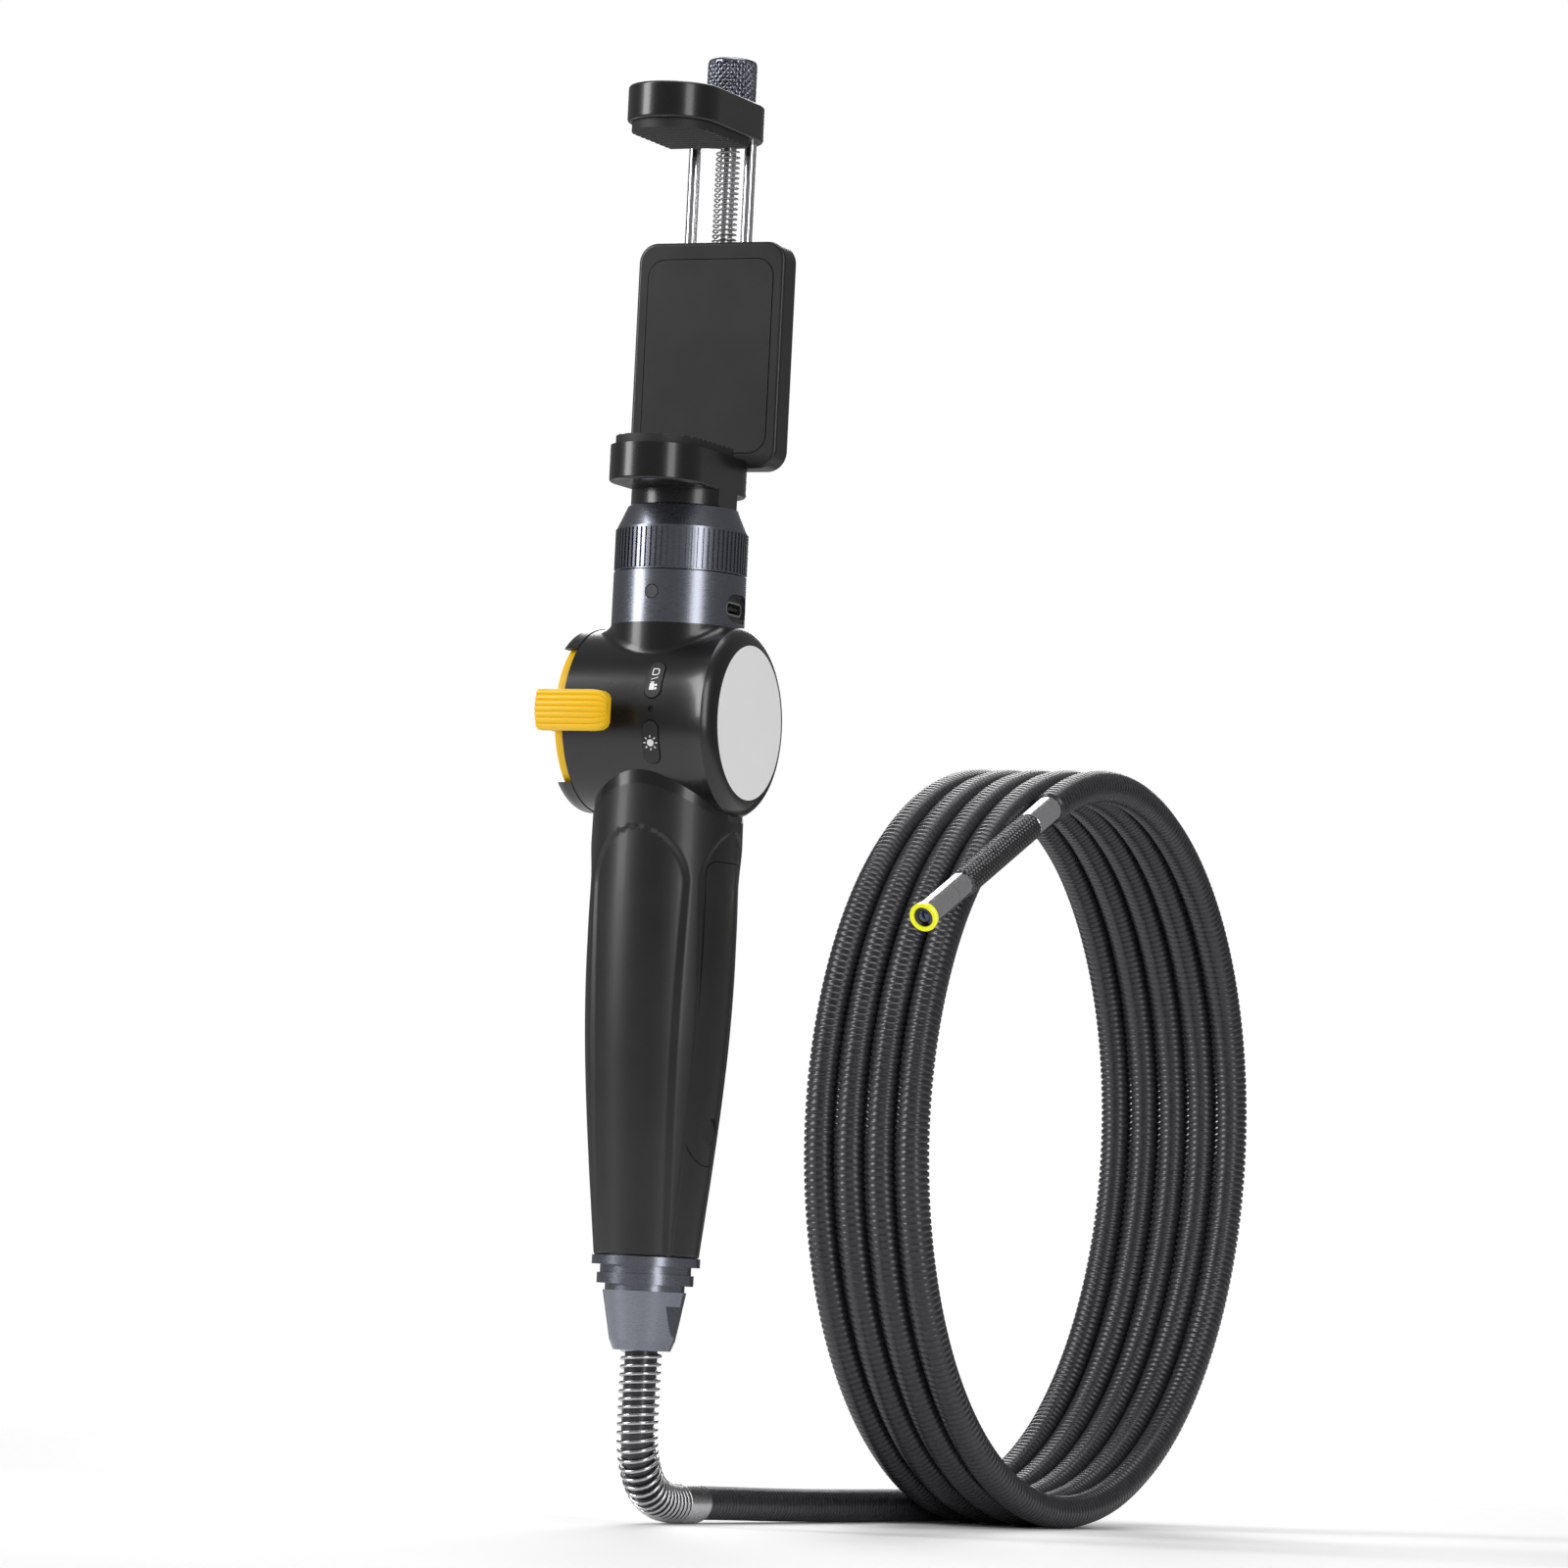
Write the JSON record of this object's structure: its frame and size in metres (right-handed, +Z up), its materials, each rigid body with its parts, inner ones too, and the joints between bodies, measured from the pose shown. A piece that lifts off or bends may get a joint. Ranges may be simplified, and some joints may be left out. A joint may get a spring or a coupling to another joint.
{
  "type": "inspection camera",
  "caption": "Hand-held articulating inspection camera: grip handle with phone clamp, thumb lever, buttons and battery door, and a long coiled hose ending in a bending camera tip.",
  "frame": {"origin": "the middle of the hand grip, on the handle's axis", "axes": "+Z up along the handle towards the phone clamp, -Y the front with the buttons and the open side of the clamp, +X the side with the round label"},
  "size_m": [0.0825, 0.3121, 0.365],
  "materials": {
    "satin_black": "satin, fine texture",
    "gloss_black": "semi-gloss",
    "label_white": "printed film",
    "button_rubber": "satin",
    "clear_lens": "dark window",
    "board_green": "solder mask",
    "lever_yellow": "satin",
    "steel": "brushed",
    "brass": "turned",
    "cell_wrap": "shrink film",
    "gunmetal": "dark anodised",
    "pad_rubber": "satin",
    "chrome": "polished",
    "hose_black": "semi-matte",
    "guard_steel": "polished wire",
    "light_yellow": "clear gloss",
    "lens_glass": "coated glass",
    "button_grey": "satin",
    "braid": "woven mesh"
  },
  "bodies": {
    "handle": {"grip_body": "satin_black", "battery_cell": "cell_wrap", "battery_cradle": "satin_black", "battery_contacts": "steel", "head_housing": "gloss_black", "side_cap": "gloss_black", "label_disc": "label_white", "indicator_lens": "clear_lens", "main_board": "board_green", "lever_cover": "gloss_black", "shaft_bush": "brass", "collar": "gunmetal", "usb_shell": "steel", "usb_bezel": "satin_black", "usb_tongue": "satin_black", "grip_end_ring": "gunmetal", "gland_nut": "gunmetal", "hose_run": "hose_black", "bend_guard": "guard_steel", "guard_ferrule": "steel", "hose_coil": "hose_black", "tip_ferrule": "chrome", "braid_sleeve_0": "braid"},
    "phone_holder": {"clamp_base": "gloss_black", "stem_snap_ring": "steel", "plate_screws": "steel", "lower_jaw_pad": "pad_rubber", "back_plate": "satin_black", "back_pad": "satin_black", "clamp_nut": "brass"},
    "moving_jaw": {"upper_jaw": "gloss_black", "upper_jaw_pad": "pad_rubber", "guide_rods": "chrome", "clamp_spring": "steel"},
    "knob_screw": {"clamp_screw": "steel", "clamp_knob": "gunmetal"},
    "locking_ring": {"lock_ring": "gunmetal"},
    "lever": {"thumb_lever": "lever_yellow", "lever_shaft": "steel", "wire_pulley": "brass"},
    "front_pull_wire": {"front_wire": "steel"},
    "rear_pull_wire": {"rear_wire": "steel"},
    "photo_key": {"photo_button": "button_rubber"},
    "light_key": {"light_button": "button_rubber"},
    "power_key": {"power_button": "button_grey"},
    "door": {"battery_door": "satin_black"},
    "link_1": {"braid_sleeve_1": "braid", "vertebra_1": "steel"},
    "link_2": {"braid_sleeve_2": "braid", "vertebra_2": "steel"},
    "link_3": {"braid_sleeve_3": "braid", "vertebra_3": "steel"},
    "link_4": {"braid_sleeve_4": "braid", "vertebra_4": "steel"},
    "camera_head": {"braid_sleeve_5": "braid", "head_sleeve": "chrome", "camera_shell": "chrome", "light_ring": "light_yellow", "camera_lens": "lens_glass"}
  },
  "joints": [
    {"name": "holder_swivel", "type": "hinge", "parent": "handle", "child": "phone_holder", "pos_m": [0, 0, 0.12], "axis": [0, 0, 1], "continuous": true},
    {"name": "lock_ring_turn", "type": "hinge", "parent": "handle", "child": "locking_ring", "pos_m": [0, 0, 0.12], "axis": [0, 0, 1], "range_deg": [-90, 90]},
    {"name": "jaw_slide", "type": "slide", "parent": "phone_holder", "child": "moving_jaw", "axis": [0, 0, 1], "range_m": [-0.016, 0.01], "deforming": ["clamp_spring"]},
    {"name": "knob_turn", "type": "hinge", "parent": "moving_jaw", "child": "knob_screw", "pos_m": [0, 0.016, 0.2], "axis": [0, 0, 1], "range_deg": [-2900, 1820]},
    {"name": "lever_turn", "type": "hinge", "parent": "handle", "child": "lever", "pos_m": [-0.0095, 0, 0.08], "axis": [1, 0, 0], "range_deg": [-30, 30]},
    {"name": "front_wire_slide", "type": "slide", "parent": "handle", "child": "front_pull_wire", "axis": [0, 0, 1], "range_m": [-0.0034, 0.0034]},
    {"name": "rear_wire_slide", "type": "slide", "parent": "handle", "child": "rear_pull_wire", "axis": [0, 0, 1], "range_m": [-0.0034, 0.0034]},
    {"name": "photo_press", "type": "slide", "parent": "handle", "child": "photo_key", "axis": [0, 0.9272, -0.3746], "range_m": [0, 0.0005], "stiffness_N_per_m": 800, "springref_m": -0.0003},
    {"name": "light_press", "type": "slide", "parent": "handle", "child": "light_key", "axis": [0, 0.9511, 0.309], "range_m": [0, 0.0005], "stiffness_N_per_m": 800, "springref_m": -0.0003},
    {"name": "power_press", "type": "slide", "parent": "handle", "child": "power_key", "axis": [0, 1, 0], "range_m": [0, 0.0005], "stiffness_N_per_m": 800, "springref_m": -0.0003},
    {"name": "door_lift", "type": "slide", "parent": "handle", "child": "door", "axis": [1, 0, 0], "range_m": [0, 0.015]},
    {"name": "bend_1", "type": "hinge", "parent": "handle", "child": "link_1", "pos_m": [0.04573, 0.11904, 0.06319], "axis": [0.9985, -0.0553, 0], "range_deg": [-30, 30]},
    {"name": "bend_2", "type": "hinge", "parent": "link_1", "child": "link_2", "pos_m": [0.04531, 0.11144, 0.05964], "axis": [0.9985, -0.0553, 0], "range_deg": [-30, 30]},
    {"name": "bend_3", "type": "hinge", "parent": "link_2", "child": "link_3", "pos_m": [0.04489, 0.10384, 0.05609], "axis": [0.9985, -0.0553, 0], "range_deg": [-30, 30]},
    {"name": "bend_4", "type": "hinge", "parent": "link_3", "child": "link_4", "pos_m": [0.04447, 0.09624, 0.05254], "axis": [0.9985, -0.0553, 0], "range_deg": [-30, 30]},
    {"name": "bend_5", "type": "hinge", "parent": "link_4", "child": "camera_head", "pos_m": [0.04405, 0.08864, 0.04899], "axis": [0.9985, -0.0553, 0], "range_deg": [-30, 30]}
  ],
  "couplings": [
    {"joint": "knob_turn", "follows": "jaw_slide", "rad_per_m": 3141.6},
    {"joint": "front_wire_slide", "follows": "lever_turn", "m_per_rad": -0.0064},
    {"joint": "rear_wire_slide", "follows": "lever_turn", "m_per_rad": 0.0064},
    {"joint": "bend_1", "follows": "lever_turn", "ratio": 1},
    {"joint": "bend_2", "follows": "lever_turn", "ratio": 1},
    {"joint": "bend_3", "follows": "lever_turn", "ratio": 1},
    {"joint": "bend_4", "follows": "lever_turn", "ratio": 1},
    {"joint": "bend_5", "follows": "lever_turn", "ratio": 1}
  ]
}
